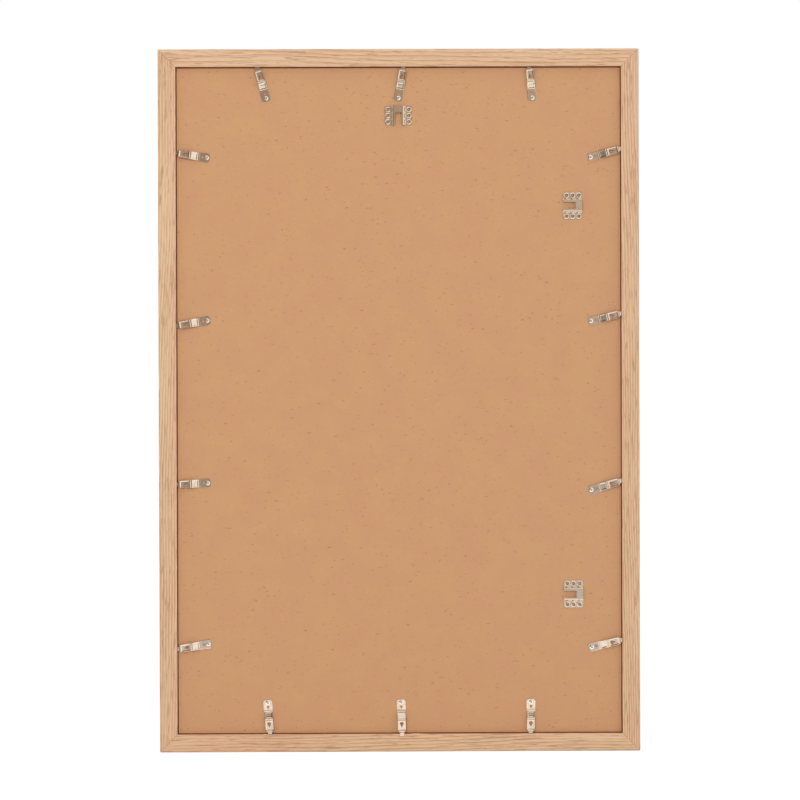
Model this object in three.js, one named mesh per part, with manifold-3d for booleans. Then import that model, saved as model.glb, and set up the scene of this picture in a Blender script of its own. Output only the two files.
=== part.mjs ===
// Oak picture frame for a 600 by 900 mm picture, hung upright on a wall.
// Millimetres. X runs across the picture, Y points at the wall, Z points up.
// The back of the frame is the plane y = 0, and the glazing faces -Y.
// The origin is where the wall nail sits, in the middle notch of the top hanger.
// Left and right are as seen from behind, so left is +X and right is -X.

import * as THREE from 'three';
import { mergeVertices } from 'three/addons/utils/BufferGeometryUtils.js';
import Module from 'manifold-3d';

const wasm = await Module();
wasm.setup();

// Picture and the layers that fill the rebate
const pictureWidth = 600;
const pictureHeight = 900;
const pictureClearance = 1;
const glazingThickness = 2;
const sheetThickness = 0.4;
const boardThickness = 3;
const layerGap = 0.2;

// Section of the moulding
const mouldingDepth = 20;
const wallWidth = 24;
const lipWidth = 6;
const boardRecess = 6;
const outerArris = 2;
const innerArris = 0.5;
const sightArris = 1.2;
const outlineRadius = 2;

// Mitre joint and the dowel hidden in it
const mitreGap = 0.2;
const dowelRadius = 3;
const dowelLength = 20;
const dowelFromBack = 11;
const dowelChamfer = 0.8;
const dowelClearance = 0.3;
const dowelEndClearance = 0.5;

// Turn clip, pressed from sheet steel, measured along its length from the rivet
const clipSteel = 0.8;
const clipTail = 3.8;
const clipReach = 44.5;
const firstBend = 10.5;
const secondBend = 20.6;
const thirdBend = 34.2;
const clipRise = 3;
const bendEase = 2;
const bendShare = 0.16;
const creaseHalfLength = 1;
const creaseDepth = 0.35;
const tongueDrop = 0.3;
const tongueTaper = 3.3;

// Turn clip, across its length
const tailWidth = 12.4;
const waistWidth = 10.6;
const headWidth = 11;
const tongueWidth = 5.4;
const tailRadius = 3.4;
const tongueRadius = 0.8;

// Two drop-shaped holes in the clip, each a wide circle drawn out to a narrow one
const smallHole = { wideAt: 5.7, wideRadius: 1.9, narrowAt: 7.9, narrowRadius: 0.8 };
const largeHole = { wideAt: 27.4, wideRadius: 2.4, narrowAt: 32, narrowRadius: 0.7 };

// Groove round the rebate that the tongues turn into
const grooveClearance = 0.55;
const grooveEndClearance = 1;

// Hollow rivet that each clip turns on
const rivetRadius = 1.6;
const rivetFlange = 2.6;
const rivetCrown = 0.6;
const rivetCrownRadius = 2;
const rivetBore = 1;
const rivetBoreFloor = 1.2;
const rivetFlare = 2.5;
const rivetFlareHeight = 0.5;
const rivetClearance = 0.3;

// Hanger plate: two flat strips, and a raised bridge and legs round an open slot
const hangerSteel = 0.8;
const hangerStrip = 9;
const hangerRiser = 1.8;
const hangerLeg = 3;
const hangerRise = 3;
const slotWidth = 9.5;
const slotLength = 17.5;
const bridgeLength = 8.5;
const hangerCorner = 3;
const notchCount = 3;
const notchDepth = 1.5;

// Eyelets that are punched through the strips and clinched in the board
const eyeletCount = 3;
const eyeletPitch = 8.3;
const eyeletBore = 1.6;
const eyeletBarrel = 2.2;
const eyeletCrest = 2.7;
const eyeletFoot = 3.6;
const eyeletHeight = 0.7;
const eyeletReach = 1.8;
const eyeletClearance = 0.3;

// What lies on the board keeps this gap to it and to what holds it down
const seatGap = 0.25;

// How far a tongue reaches past the rebate wall of its side when its clip stands square
const topGrip = 2.5;
const leftGrip = 2.8;
const bottomGrip = 2.5;
const rightGrip = 3.4;

// Places of the hardware: hangers from the rebate wall, clips by their spacing along a side
const hangerInset = 52.5;
const sideHangerOffset = 263;
const rowPitch = 180;
const columnPitch = 220;

// Smoothness of round stretches
const arcSteps = 2;
const wideSteps = 8;
const narrowSteps = 3;
const roundSides = 10;
const dowelSides = 12;

// How far a cutting shape runs past what it cuts
const overshoot = 1;

// Sizes that follow
const rebateWidth = pictureWidth + 2 * pictureClearance;
const rebateHeight = pictureHeight + 2 * pictureClearance;
const rebateDepth = boardRecess + boardThickness + sheetThickness + glazingThickness + 3 * layerGap;
const outerWidth = rebateWidth + 2 * wallWidth;
const outerHeight = rebateHeight + 2 * wallWidth;
const sectionWidth = wallWidth + lipWidth;
const tongueRise = clipRise - tongueDrop;
const grooveLow = seatGap + tongueRise - grooveClearance;
const grooveHigh = seatGap + clipRise + clipSteel + grooveClearance;
const grooveDepth = Math.max(topGrip, leftGrip, bottomGrip, rightGrip) + grooveEndClearance;
const hangerLength = bridgeLength + slotLength;
const hangerWidth = slotWidth + 2 * (hangerLeg + hangerRiser + hangerStrip);
const nailHeight = rebateHeight / 2 - hangerInset - bridgeLength;

// The four sides, each drawn as if it were the top one and turned about Y by its heading.
// Clips are numbered clockwise as seen from behind, which is from +x to -x of the side.
// A lean is how far a clip is turned from square to its rail, and a shift is how far its
// rivet lies along the rail from an even spacing. An inset is how far the rivets lie inside
// the rebate wall, so that the tongues get their grip.
const sides = [
  {
    name: 'top',
    heading: 0,
    length: outerWidth,
    halfOpening: rebateHeight / 2,
    inset: clipReach - topGrip,
    pitch: rowPitch,
    clips: [{ lean: 15.8, shift: -1.3 }, { lean: -9.3, shift: 0 }, { lean: 5.7, shift: -1.3 }],
    hangers: [{ name: 'hanger_top', x: 0 }],
    corner: 'top_left',
  },
  {
    name: 'left',
    heading: 90,
    length: outerHeight,
    halfOpening: rebateWidth / 2,
    inset: clipReach - leftGrip,
    pitch: columnPitch,
    clips: [
      { lean: 8.6, shift: -1 }, { lean: 2, shift: 1.1 },
      { lean: 9.3, shift: 1.2 }, { lean: -8.6, shift: 1.1 },
    ],
    hangers: [],
    corner: 'bottom_left',
  },
  {
    name: 'bottom',
    heading: 180,
    length: outerWidth,
    halfOpening: rebateHeight / 2,
    inset: clipReach - bottomGrip,
    pitch: rowPitch,
    clips: [{ lean: -1, shift: -2.7 }, { lean: 1.5, shift: 1.4, sprung: true }, { lean: 4.2, shift: 0.8 }],
    hangers: [],
    corner: 'bottom_right',
  },
  {
    name: 'right',
    heading: -90,
    length: outerHeight,
    halfOpening: rebateWidth / 2,
    inset: clipReach - rightGrip,
    pitch: columnPitch,
    clips: [
      { lean: 15.5, shift: -1.7 }, { lean: 13.7, shift: -3.2 },
      { lean: 17, shift: -11.9 }, { lean: 13.8, shift: -5.1 },
    ],
    hangers: [
      { name: 'hanger_right_upper', x: sideHangerOffset },
      { name: 'hanger_right_lower', x: -sideHangerOffset },
    ],
    corner: 'top_right',
  },
];

const oak = new THREE.MeshStandardMaterial({ name: 'oak', color: 0xdab491, roughness: 0.62 });
const beech = new THREE.MeshStandardMaterial({ name: 'beech', color: 0xcfa77c, roughness: 0.7 });
const hardboard = new THREE.MeshStandardMaterial({ name: 'hardboard', color: 0xcc9a70, roughness: 0.55 });
const paper = new THREE.MeshStandardMaterial({ name: 'paper', color: 0xf3f1ea, roughness: 0.9 });
const glass = new THREE.MeshStandardMaterial({
  name: 'glass', color: 0xe3ece8, roughness: 0.05, transparent: true, opacity: 0.3,
});
const clipPlate = new THREE.MeshStandardMaterial({
  name: 'plated_clip', color: 0xd2c9bd, roughness: 0.28, metalness: 1,
});
const rivetPlate = new THREE.MeshStandardMaterial({
  name: 'plated_rivet', color: 0xdcd4c8, roughness: 0.22, metalness: 1,
});
const hangerPlate = new THREE.MeshStandardMaterial({
  name: 'plated_hanger', color: 0xc4b8aa, roughness: 0.38, metalness: 1,
});

// A closed geometry becomes a solid that can be joined and cut.
function toSolid(geometry) {
  const bare = geometry.clone();
  bare.deleteAttribute('normal');
  bare.deleteAttribute('uv');
  const merged = mergeVertices(bare);
  const corners = [];
  for (let i = 0; i < merged.index.count; i += 3) {
    const [a, b, c] = [0, 1, 2].map((k) => merged.index.getX(i + k));
    if (a !== b && b !== c && c !== a) {
      corners.push(a, b, c);
    }
  }
  const mesh = new wasm.Mesh({
    numProp: 3,
    vertProperties: new Float32Array(merged.attributes.position.array),
    triVerts: new Uint32Array(corners),
  });
  return new wasm.Manifold(mesh);
}

// A solid goes back to a geometry with flat faces.
function toGeometry(solid) {
  const mesh = solid.getMesh();
  const geometry = new THREE.BufferGeometry();
  geometry.setAttribute('position', new THREE.BufferAttribute(mesh.vertProperties, 3));
  geometry.setIndex(new THREE.BufferAttribute(mesh.triVerts, 1));
  const faceted = geometry.toNonIndexed();
  faceted.computeVertexNormals();
  return faceted;
}

// A plan drawn in X and Z stands between two heights along Y.
function prism(plan, low, high) {
  const geometry = new THREE.ExtrudeGeometry(plan, {
    depth: high - low,
    curveSegments: arcSteps,
    bevelEnabled: false,
  });
  return geometry.rotateX(Math.PI / 2).translate(0, high, 0);
}

// A profile of length along Z and height along Y is drawn out across X, about the middle.
function band(profile, width) {
  const geometry = new THREE.ExtrudeGeometry(profile, {
    depth: width,
    curveSegments: arcSteps,
    bevelEnabled: false,
  });
  return geometry.translate(0, 0, -width / 2).rotateY(-Math.PI / 2);
}

function turned(profile, count) {
  return new THREE.LatheGeometry(profile.map(([r, y]) => new THREE.Vector2(r, y)), count);
}

// Points along an arc, from one angle to another.
function arcPoints(x, z, radius, from, to, steps) {
  const points = [];
  for (let i = 0; i <= steps; i += 1) {
    const angle = from + ((to - from) * i) / steps;
    points.push(new THREE.Vector2(x + radius * Math.cos(angle), z + radius * Math.sin(angle)));
  }
  return points;
}

// The turn from a side, drawn as the top one, to its own place.
function sideMatrix(side) {
  return new THREE.Matrix4().makeRotationY(THREE.MathUtils.degToRad(side.heading));
}

function clipPlaces(side) {
  const middle = (side.clips.length - 1) / 2;
  return side.clips.map((clip, i) => new THREE.Vector3(
    side.pitch * (middle - i) + clip.shift,
    -boardRecess,
    side.halfOpening - side.inset,
  ));
}

// A hanger is placed by the middle of the edge that faces the rail.
function hangerPlaces(side) {
  return side.hangers.map((hanger) => new THREE.Vector3(
    hanger.x,
    -boardRecess,
    side.halfOpening - hangerInset,
  ));
}

// Section of the moulding. x runs from the outer face to the opening, y from the back.
function mouldingSection() {
  const section = new THREE.Shape();
  const grooveTop = grooveHigh - boardRecess;
  const grooveBottom = grooveLow - boardRecess;
  section.moveTo(outerArris, 0);
  section.absarc(outerArris, -outerArris, outerArris, Math.PI / 2, Math.PI, false);
  section.absarc(outerArris, outerArris - mouldingDepth, outerArris, Math.PI, 1.5 * Math.PI, false);
  section.absarc(
    sectionWidth - sightArris, sightArris - mouldingDepth, sightArris, 1.5 * Math.PI, 2 * Math.PI, false,
  );
  section.lineTo(sectionWidth, -rebateDepth);
  section.lineTo(wallWidth, -rebateDepth);
  section.lineTo(wallWidth, grooveBottom);
  section.lineTo(wallWidth - grooveDepth, grooveBottom);
  section.lineTo(wallWidth - grooveDepth, grooveTop);
  section.lineTo(wallWidth, grooveTop);
  section.lineTo(wallWidth, -innerArris);
  section.lineTo(wallWidth - innerArris, 0);
  section.closePath();
  return section;
}

// The outline of the whole frame, with its corners rounded.
function frameOutline(width, height) {
  const x = width / 2 - outlineRadius;
  const z = height / 2 - outlineRadius;
  const outline = new THREE.Shape();
  outline.absarc(x, z, outlineRadius, 0, Math.PI / 2, false);
  outline.absarc(-x, z, outlineRadius, Math.PI / 2, Math.PI, false);
  outline.absarc(-x, -z, outlineRadius, Math.PI, 1.5 * Math.PI, false);
  outline.absarc(x, -z, outlineRadius, 1.5 * Math.PI, 2 * Math.PI, false);
  outline.closePath();
  return outline;
}

// A dowel stands square across the mitre, in the middle of the wall beside the rebate.
function cornerDowel(side, end, radius, length) {
  const half = length / 2;
  const chamfer = Math.min(dowelChamfer, radius / 2);
  const rod = turned([
    [0, -half],
    [radius - chamfer, -half],
    [radius, chamfer - half],
    [radius, half - chamfer],
    [radius - chamfer, half],
    [0, half],
  ], dowelSides);
  rod.rotateX(Math.PI / 2).rotateY((-end * Math.PI) / 4);
  const along = end * (side.length / 2 - wallWidth / 2);
  return rod.translate(along, -dowelFromBack, side.halfOpening + wallWidth / 2);
}

// A rail is its section drawn out to the full length, with both ends slanted to a mitre.
function railGeometry(side) {
  const rail = new THREE.ExtrudeGeometry(mouldingSection(), {
    depth: side.length,
    curveSegments: arcSteps,
    bevelEnabled: false,
  });
  const position = rail.attributes.position;
  for (let i = 0; i < position.count; i += 1) {
    const fromEnd = position.getX(i) + mitreGap / Math.SQRT2;
    const atFarEnd = position.getZ(i) > side.length / 2;
    position.setZ(i, atFarEnd ? side.length - fromEnd : fromEnd);
  }
  rail.translate(0, 0, -side.length / 2);
  rail.rotateY(Math.PI / 2);
  rail.translate(0, 0, side.halfOpening + wallWidth);

  const across = 2 * (side.halfOpening + wallWidth);
  const block = prism(frameOutline(side.length, across), -mouldingDepth - overshoot, overshoot);
  let solid = toSolid(rail).intersect(toSolid(block));
  for (const end of [-1, 1]) {
    const hole = cornerDowel(
      side, end, dowelRadius + dowelClearance, dowelLength + 2 * dowelEndClearance,
    );
    solid = solid.subtract(toSolid(hole));
  }
  return toGeometry(solid);
}

// A drop-shaped hole along the clip, bounded by two circles and the lines that touch both.
function dropHole({ wideAt, wideRadius, narrowAt, narrowRadius }) {
  const slant = Math.asin((wideRadius - narrowRadius) / (narrowAt - wideAt));
  return new THREE.Path([
    ...arcPoints(0, wideAt, wideRadius, Math.PI - slant, 2 * Math.PI + slant, wideSteps),
    ...arcPoints(0, narrowAt, narrowRadius, slant, Math.PI - slant, narrowSteps),
  ]);
}

function pivotHole() {
  const turn = 2 * Math.PI * (1 - 1 / roundSides);
  return new THREE.Path(arcPoints(0, 0, rivetRadius + rivetClearance, 0, turn, roundSides - 1));
}

// Plan of a clip, with the rivet at the middle and the tongue towards +Z.
function clipPlan() {
  const tail = tailWidth / 2;
  const waist = waistWidth / 2;
  const head = headWidth / 2;
  const tongue = tongueWidth / 2;
  const shoulder = head - tongue;
  const plan = new THREE.Shape();
  plan.moveTo(-tail, tailRadius - clipTail);
  plan.absarc(tailRadius - tail, tailRadius - clipTail, tailRadius, Math.PI, 1.5 * Math.PI, false);
  plan.absarc(tail - tailRadius, tailRadius - clipTail, tailRadius, 1.5 * Math.PI, 2 * Math.PI, false);
  plan.lineTo(waist, firstBend);
  plan.lineTo(waist, secondBend);
  plan.lineTo(head, thirdBend - creaseHalfLength);
  plan.quadraticCurveTo(
    head - shoulder / 2, thirdBend + tongueTaper / 2, tongue, thirdBend + tongueTaper,
  );
  plan.absarc(tongue - tongueRadius, clipReach - tongueRadius, tongueRadius, 0, Math.PI / 2, false);
  plan.absarc(tongueRadius - tongue, clipReach - tongueRadius, tongueRadius, Math.PI / 2, Math.PI, false);
  plan.lineTo(-tongue, thirdBend + tongueTaper);
  plan.quadraticCurveTo(
    shoulder / 2 - head, thirdBend + tongueTaper / 2, -head, thirdBend - creaseHalfLength,
  );
  plan.lineTo(-waist, secondBend);
  plan.lineTo(-waist, firstBend);
  plan.closePath();
  plan.holes.push(pivotHole());
  plan.holes.push(dropHole(smallHole));
  plan.holes.push(dropHole(largeHole));
  return plan;
}

// Side view of a clip: flat under the rivet, a ramp, a crease, the head and the tongue.
// A slope lifts everything past the first bend, for a clip that is sprung up.
function clipSideView(slope) {
  const bends = [
    [-clipTail - overshoot, 0],
    [firstBend, 0],
    [firstBend + bendEase, clipRise * bendShare],
    [secondBend - bendEase, clipRise * (1 - bendShare)],
    [secondBend, clipRise],
    [secondBend + creaseHalfLength, clipRise - creaseDepth],
    [secondBend + 2 * creaseHalfLength, clipRise],
    [thirdBend, clipRise],
    [thirdBend + bendEase, tongueRise],
    [clipReach + overshoot, tongueRise],
  ];
  const under = bends.map(([at, height]) => [at, height + slope * Math.max(0, at - firstBend)]);
  const over = under.map(([at, height]) => [at, height + clipSteel]).reverse();
  return new THREE.Shape([...under, ...over].map(([at, height]) => new THREE.Vector2(at, height)));
}

function clipGeometry(slope) {
  const strip = band(clipSideView(slope), tailWidth + 2 * overshoot);
  const topOfClip = clipRise + slope * clipReach + clipSteel + overshoot;
  const blank = prism(clipPlan(), -overshoot, topOfClip);
  return toGeometry(toSolid(strip).intersect(toSolid(blank))).translate(0, seatGap, 0);
}

// The slope that brings a tongue out of the groove and onto the back of the rail.
function sprungSlope(side) {
  return (boardRecess - tongueRise) / (side.inset - innerArris - firstBend);
}

// Rivet on the axis Y, from its flare in the front of the board to its crown on the clip.
function rivetGeometry() {
  const under = 2 * seatGap + clipSteel;
  return turned([
    [0, rivetSeat()],
    [rivetFlare, rivetSeat()],
    [rivetRadius, rivetSeat() + rivetFlareHeight],
    [rivetRadius, under],
    [rivetFlange, under],
    [rivetCrownRadius, under + rivetCrown],
    [rivetBore, under + rivetCrown / 2],
    [rivetBore, -rivetBoreFloor],
    [0, -rivetBoreFloor],
  ], roundSides);
}

// The flare is sunk in the front of the board by one clearance.
function rivetSeat() {
  return rivetClearance - boardThickness;
}

// The hole in the board for one rivet, with a countersink for the flare.
function rivetHole() {
  const deepest = -boardThickness - overshoot;
  const flareTop = rivetSeat() + rivetFlareHeight + rivetClearance;
  return turned([
    [0, deepest],
    [rivetFlare + rivetClearance, deepest],
    [rivetFlare + rivetClearance, rivetSeat() + rivetClearance],
    [rivetRadius + rivetClearance, flareTop],
    [rivetRadius + rivetClearance, overshoot],
    [0, overshoot],
  ], roundSides);
}

function eyeletPlaces() {
  const places = [];
  const across = hangerWidth / 2 - hangerStrip / 2;
  for (const x of [-across, across]) {
    for (let i = 0; i < eyeletCount; i += 1) {
      const along = (i - (eyeletCount - 1) / 2) * eyeletPitch - hangerLength / 2;
      places.push([x, along]);
    }
  }
  return places;
}

// Plan of a hanger. The bridge ends at z = 0, and the slot opens towards -Z.
function hangerPlan() {
  const half = hangerWidth / 2;
  const slot = slotWidth / 2;
  const plan = new THREE.Shape();
  const low = hangerCorner - hangerLength;
  plan.moveTo(half, -hangerCorner);
  plan.absarc(half - hangerCorner, -hangerCorner, hangerCorner, 0, Math.PI / 2, false);
  plan.absarc(hangerCorner - half, -hangerCorner, hangerCorner, Math.PI / 2, Math.PI, false);
  plan.absarc(hangerCorner - half, low, hangerCorner, Math.PI, 1.5 * Math.PI, false);
  plan.lineTo(-slot, -hangerLength);
  const tooth = slotWidth / (2 * notchCount);
  for (let i = 0; i <= 2 * notchCount; i += 1) {
    plan.lineTo(i * tooth - slot, -bridgeLength - (i % 2 === 0 ? notchDepth : 0));
  }
  plan.lineTo(slot, -hangerLength);
  plan.absarc(half - hangerCorner, low, hangerCorner, 1.5 * Math.PI, 2 * Math.PI, false);
  plan.closePath();
  return plan;
}

// End view of a hanger: strip, riser, raised middle, riser, strip.
function hangerEndView() {
  const half = hangerWidth / 2 + overshoot;
  const foot = slotWidth / 2 + hangerLeg + hangerRiser;
  const edge = slotWidth / 2 + hangerLeg;
  const under = [[-half, 0], [-foot, 0], [-edge, hangerRise], [edge, hangerRise], [foot, 0], [half, 0]];
  const lean = hangerSteel * Math.tan(Math.atan2(hangerRise, hangerRiser) / 2);
  const over = [
    [half, 0], [foot + lean, 0], [edge + lean, hangerRise],
    [-edge - lean, hangerRise], [-foot - lean, 0], [-half, 0],
  ].map(([x, y]) => [x, y + hangerSteel]);
  return new THREE.Shape([...under, ...over].map(([x, y]) => new THREE.Vector2(x, y)));
}

// Flared ring of one eyelet, with the barrel that is clinched in the board.
function eyeletRing() {
  return turned([
    [eyeletBore, -eyeletReach - seatGap],
    [eyeletBarrel, -eyeletReach - seatGap],
    [eyeletBarrel, hangerSteel / 2],
    [eyeletFoot, hangerSteel / 2],
    [eyeletFoot, hangerSteel],
    [eyeletCrest, hangerSteel + eyeletHeight],
    [eyeletBore, hangerSteel],
    [eyeletBore, -eyeletReach - seatGap],
  ], roundSides);
}

// The ring-shaped pocket that a barrel leaves in the board, with the wood standing inside it.
function eyeletPocket() {
  const inner = eyeletBore - eyeletClearance;
  const outer = eyeletBarrel + eyeletClearance;
  const floor = -eyeletReach - eyeletClearance;
  return turned([
    [inner, floor], [outer, floor], [outer, overshoot], [inner, overshoot], [inner, floor],
  ], roundSides);
}

function hangerGeometry() {
  const strip = new THREE.ExtrudeGeometry(hangerEndView(), {
    depth: hangerLength + 2 * overshoot,
    bevelEnabled: false,
  }).translate(0, 0, -hangerLength - overshoot);
  const blank = prism(hangerPlan(), -overshoot, hangerRise + hangerSteel + overshoot);
  let solid = toSolid(strip).intersect(toSolid(blank));
  const above = hangerSteel + overshoot;
  const punch = turned([
    [0, -overshoot], [eyeletBore, -overshoot], [eyeletBore, above], [0, above],
  ], roundSides);
  for (const [x, z] of eyeletPlaces()) {
    solid = solid.subtract(toSolid(punch.clone().translate(x, 0, z)));
    solid = solid.add(toSolid(eyeletRing().translate(x, 0, z)));
  }
  return toGeometry(solid).translate(0, seatGap, 0);
}

// The backing board, with a hole for each rivet and a pocket for each eyelet.
function boardGeometry() {
  const sheet = new THREE.BoxGeometry(pictureWidth, boardThickness, pictureHeight);
  sheet.translate(0, -boardRecess - boardThickness / 2, 0);
  let solid = toSolid(sheet);
  for (const side of sides) {
    const turn = sideMatrix(side);
    for (const place of clipPlaces(side)) {
      const hole = rivetHole().translate(place.x, place.y, place.z).applyMatrix4(turn);
      solid = solid.subtract(toSolid(hole));
    }
    for (const place of hangerPlaces(side)) {
      for (const [x, z] of eyeletPlaces()) {
        const pocket = eyeletPocket().translate(place.x + x, place.y, place.z + z).applyMatrix4(turn);
        solid = solid.subtract(toSolid(pocket));
      }
    }
  }
  return toGeometry(solid);
}

function named(name, geometry, material) {
  const mesh = new THREE.Mesh(geometry, material);
  mesh.name = name;
  return mesh;
}

// A flat layer as large as the picture, by the depth of its back face.
function layer(name, thickness, back, material) {
  const sheet = new THREE.BoxGeometry(pictureWidth, thickness, pictureHeight);
  const mesh = named(name, sheet, material);
  mesh.position.y = -back - thickness / 2;
  return mesh;
}

const plainClip = clipGeometry(0);
const rivet = rivetGeometry();
const hangerPlateShape = hangerGeometry();

// Everything that belongs to one side: rail, dowel of one corner, clips, rivets and hangers.
function sideGroup(side) {
  const group = new THREE.Group();
  group.rotation.y = THREE.MathUtils.degToRad(side.heading);
  group.add(named(`rail_${side.name}`, railGeometry(side), oak));
  group.add(named(`dowel_${side.corner}`, cornerDowel(side, 1, dowelRadius, dowelLength), beech));

  clipPlaces(side).forEach((place, i) => {
    const { lean, sprung } = side.clips[i];
    const shape = sprung ? clipGeometry(sprungSlope(side)) : plainClip;
    const clip = named(`clip_${side.name}_${i + 1}`, shape, clipPlate);
    clip.position.copy(place);
    clip.rotation.y = THREE.MathUtils.degToRad(lean);
    const pin = named(`rivet_${side.name}_${i + 1}`, rivet, rivetPlate);
    pin.position.copy(place);
    group.add(clip, pin);
  });

  hangerPlaces(side).forEach((place, i) => {
    const hanger = named(side.hangers[i].name, hangerPlateShape, hangerPlate);
    hanger.position.copy(place);
    group.add(hanger);
  });
  return group;
}

const sheetBack = boardRecess + boardThickness + layerGap;
const glazingBack = sheetBack + sheetThickness + layerGap;

const pictureFrame = new THREE.Group();
pictureFrame.position.z = -nailHeight;
pictureFrame.add(...sides.map(sideGroup));
pictureFrame.add(named('backing_board', boardGeometry(), hardboard));
pictureFrame.add(layer('picture_sheet', sheetThickness, sheetBack, paper));
pictureFrame.add(layer('glazing', glazingThickness, glazingBack, glass));

export default pictureFrame;
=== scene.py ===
# %% [markdown]
# # An oak picture frame for a 60 by 90 cm picture, seen from behind
# The real thing is four mitred oak rails round a hardboard back. Fourteen pressed steel clips are
# riveted to the back, and their tongues turn into a groove in the rails. Three toothed hangers are
# clinched in the board. This script makes the wood, the board and the plated steel, and it builds
# the small metal parts again with their bends, dishes and rims.

import math

import bmesh
import bpy
import numpy as np
from mathutils import Matrix, Vector


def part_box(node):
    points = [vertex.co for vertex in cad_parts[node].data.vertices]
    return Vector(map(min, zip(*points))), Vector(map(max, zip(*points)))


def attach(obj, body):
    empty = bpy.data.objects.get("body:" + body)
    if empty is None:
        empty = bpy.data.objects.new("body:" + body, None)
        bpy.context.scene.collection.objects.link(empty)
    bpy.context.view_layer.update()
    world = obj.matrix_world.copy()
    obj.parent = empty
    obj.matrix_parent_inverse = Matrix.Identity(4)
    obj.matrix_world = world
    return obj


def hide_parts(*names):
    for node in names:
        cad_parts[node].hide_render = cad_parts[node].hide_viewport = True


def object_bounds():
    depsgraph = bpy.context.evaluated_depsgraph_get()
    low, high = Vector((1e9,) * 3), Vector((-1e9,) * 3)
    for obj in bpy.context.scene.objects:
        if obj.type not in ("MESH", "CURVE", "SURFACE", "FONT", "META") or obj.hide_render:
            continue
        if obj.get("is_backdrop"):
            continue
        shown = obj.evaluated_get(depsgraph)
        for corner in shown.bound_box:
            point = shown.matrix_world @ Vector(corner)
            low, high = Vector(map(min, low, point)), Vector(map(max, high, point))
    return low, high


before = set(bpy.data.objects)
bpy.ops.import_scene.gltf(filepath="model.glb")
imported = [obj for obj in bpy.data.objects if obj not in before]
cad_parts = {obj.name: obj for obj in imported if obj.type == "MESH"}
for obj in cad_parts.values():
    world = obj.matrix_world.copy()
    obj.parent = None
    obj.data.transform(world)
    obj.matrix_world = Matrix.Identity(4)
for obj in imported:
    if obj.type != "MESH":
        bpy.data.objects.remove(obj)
cad_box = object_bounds()
MM = 0.001
scene = bpy.context.scene

# %% [markdown]
# ## The camera
# The photo looks at the back square on, from about two and a half metres and from the height of
# the middle of the frame. The edges of the rails in the photo give the last tenths of a degree.

# %% Camera
CAMERA_LENS, SENSOR_WIDTH = 85.0, 36.0
CAMERA_PLACE = (0.011, 2.552, -0.381)
CAMERA_TURN = (89.81, 179.73, -0.18)


def add_camera():
    data = bpy.data.cameras.new("photo_camera")
    data.lens = CAMERA_LENS
    data.sensor_width = SENSOR_WIDTH
    data.sensor_fit = "HORIZONTAL"
    camera = bpy.data.objects.new("photo_camera", data)
    scene.collection.objects.link(camera)
    tilt, turn, roll = (math.radians(a) for a in CAMERA_TURN)
    aim = Matrix.Rotation(turn, 4, "Z") @ Matrix.Rotation(tilt, 4, "X") @ Matrix.Rotation(roll, 4, "Z")
    camera.matrix_world = Matrix.Translation(CAMERA_PLACE) @ aim
    scene.camera = camera


add_camera()
print("camera at", CAMERA_PLACE, "lens", CAMERA_LENS)

# %% [markdown]
# ## Helpers for modelling
# Operators act on what is selected, so each step picks its edges or faces by where they are.
# Lengths are written in millimetres and made metres by MM.

# %% Helpers
CLOSE = 0.01 * MM


def take(obj):
    """Makes obj the one selected and active object."""
    bpy.ops.object.select_all(action="DESELECT")
    obj.hide_set(False)
    obj.select_set(True)
    bpy.context.view_layer.objects.active = obj
    return obj


def begin_edit(obj, action="DESELECT"):
    """Edit mode with nothing selected, or with all of it."""
    take(obj)
    bpy.ops.object.mode_set(mode="EDIT")
    bpy.ops.mesh.select_mode(type="VERT")
    bpy.ops.mesh.select_all(action=action)


def end_edit():
    bpy.ops.object.mode_set(mode="OBJECT")


def pick(kind, test):
    """In edit mode, selects the edges or faces whose list of corners passes the test."""
    bpy.ops.mesh.select_mode(type={"edges": "EDGE", "faces": "FACE"}[kind])
    bpy.ops.mesh.select_all(action="DESELECT")
    mesh = bmesh.from_edit_mesh(bpy.context.object.data)
    for part in getattr(mesh, kind):
        if test([v.co for v in part.verts]):
            part.select_set(True)
    mesh.select_flush_mode()
    bmesh.update_edit_mesh(bpy.context.object.data)


def every(test):
    """A test on all corners from a test on one."""
    return lambda corners: all(test(v) for v in corners)


def near(value, target):
    return abs(value - target) < CLOSE


def add_primitive(kind, name, scale=(1, 1, 1), **settings):
    """Adds a primitive with nothing else selected, and puts its place into its mesh."""
    bpy.ops.object.select_all(action="DESELECT")
    getattr(bpy.ops.mesh, f"primitive_{kind}_add")(**settings)
    obj = bpy.context.object
    obj.name = name
    obj.scale = scale
    bpy.ops.object.transform_apply(location=True, rotation=True, scale=True)
    return obj


def apply_modifier(obj, kind, **settings):
    take(obj)
    modifier = obj.modifiers.new(kind.lower(), kind)
    for name, value in settings.items():
        setattr(modifier, name, value)
    bpy.ops.object.modifier_apply(modifier=modifier.name)


def smooth(obj, angle):
    take(obj)
    bpy.ops.object.shade_smooth_by_angle(angle=math.radians(angle))


def cut(obj, tool, operation="DIFFERENCE"):
    """Boolean with a tool that is thrown away afterwards."""
    apply_modifier(obj, "BOOLEAN", object=tool, operation=operation, solver="MANIFOLD")
    bpy.data.objects.remove(tool)


def tidy_normals(obj, merge=0.002):
    """Merges doubles and turns all faces outwards. A shell with a negative volume is flipped."""
    begin_edit(obj, "SELECT")
    bpy.ops.mesh.remove_doubles(threshold=merge * MM)
    bpy.ops.mesh.normals_make_consistent(inside=False)
    if bmesh.from_edit_mesh(obj.data).calc_volume(signed=True) < 0:
        bpy.ops.mesh.flip_normals()
    end_edit()


def begin_body(name, points, edges, faces):
    """A new body from its points, in edit mode with all of it selected."""
    mesh = bpy.data.meshes.new(name)
    mesh.from_pydata(points, edges, faces)
    body = bpy.data.objects.new(name, mesh)
    scene.collection.objects.link(body)
    begin_edit(body, "SELECT")
    return body


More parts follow.
